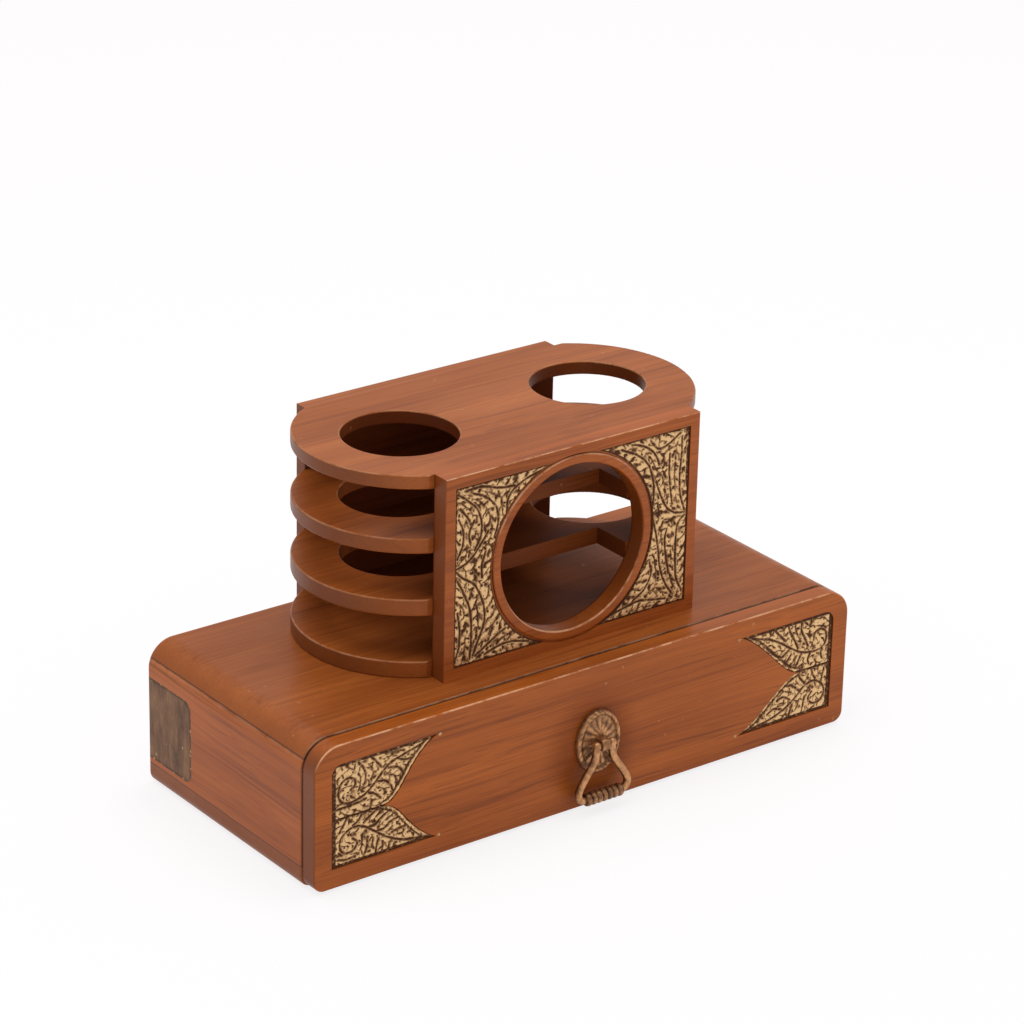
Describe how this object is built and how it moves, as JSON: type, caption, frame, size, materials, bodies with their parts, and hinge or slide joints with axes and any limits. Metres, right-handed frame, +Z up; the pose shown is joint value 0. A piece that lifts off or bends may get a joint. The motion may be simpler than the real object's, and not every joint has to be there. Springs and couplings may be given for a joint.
{
  "type": "pen stand with drawer",
  "caption": "Wooden desk pen stand: an open shelved holder with pen wells and a round window stands on a low case with a full-width drawer, a drop pull and embossed brass inlays.",
  "frame": {"origin": "on the table plane, at the middle of the case's footprint (length by depth, without the pull)", "axes": "+X to the right along the drawer front, +Y to the back, +Z up; the drawer opens towards -Y"},
  "size_m": [0.254, 0.1204, 0.1412],
  "materials": {
    "wood": "semi-gloss lacquered sheesham",
    "plain_wood": "sanded, unlacquered",
    "dowel_wood": "sanded",
    "brass": "embossed sheet, darkened in the hollows",
    "antique_brass": "cast, antique brown, worn bright on the edges",
    "steel": "zinc-plated"
  },
  "bodies": {
    "case": {"case_bottom_board": "wood", "case_top_board": "wood", "case_left_side": "wood", "case_right_side": "wood", "case_back_board": "wood", "case_dowels": "dowel_wood", "rear_left_corner_plate": "brass", "rear_right_corner_plate": "brass", "holder_floor_shelf": "wood", "holder_lower_shelf": "wood", "holder_upper_shelf": "wood", "holder_top_shelf": "wood", "holder_front_plate": "wood", "holder_back_plate": "wood", "shelf_dowels": "dowel_wood", "holder_screws": "steel", "window_inlay_left": "brass", "window_inlay_right": "brass"},
    "drawer": {"drawer_front": "wood", "drawer_left_side": "plain_wood", "drawer_right_side": "plain_wood", "drawer_back": "plain_wood", "drawer_bottom": "plain_wood", "drawer_dowels": "dowel_wood", "leaf_inlay_upper_left": "brass", "leaf_inlay_lower_left": "brass", "leaf_inlay_upper_right": "brass", "leaf_inlay_lower_right": "brass", "leaf_tip_pins": "brass", "pull_backplate": "antique_brass", "pull_stem": "antique_brass", "pull_washer": "steel", "pull_nut": "steel"},
    "bail": {"pull_bail": "antique_brass"}
  },
  "joints": [
    {"name": "drawer_slide", "type": "slide", "parent": "case", "child": "drawer", "axis": [0, -1, 0], "range_m": [0, 0.075]},
    {"name": "bail_swing", "type": "hinge", "parent": "drawer", "child": "bail", "pos_m": [0.002, -0.0614, 0.0279], "axis": [-1, 0, 0], "range_deg": [-3.5, 183.5]}
  ]
}
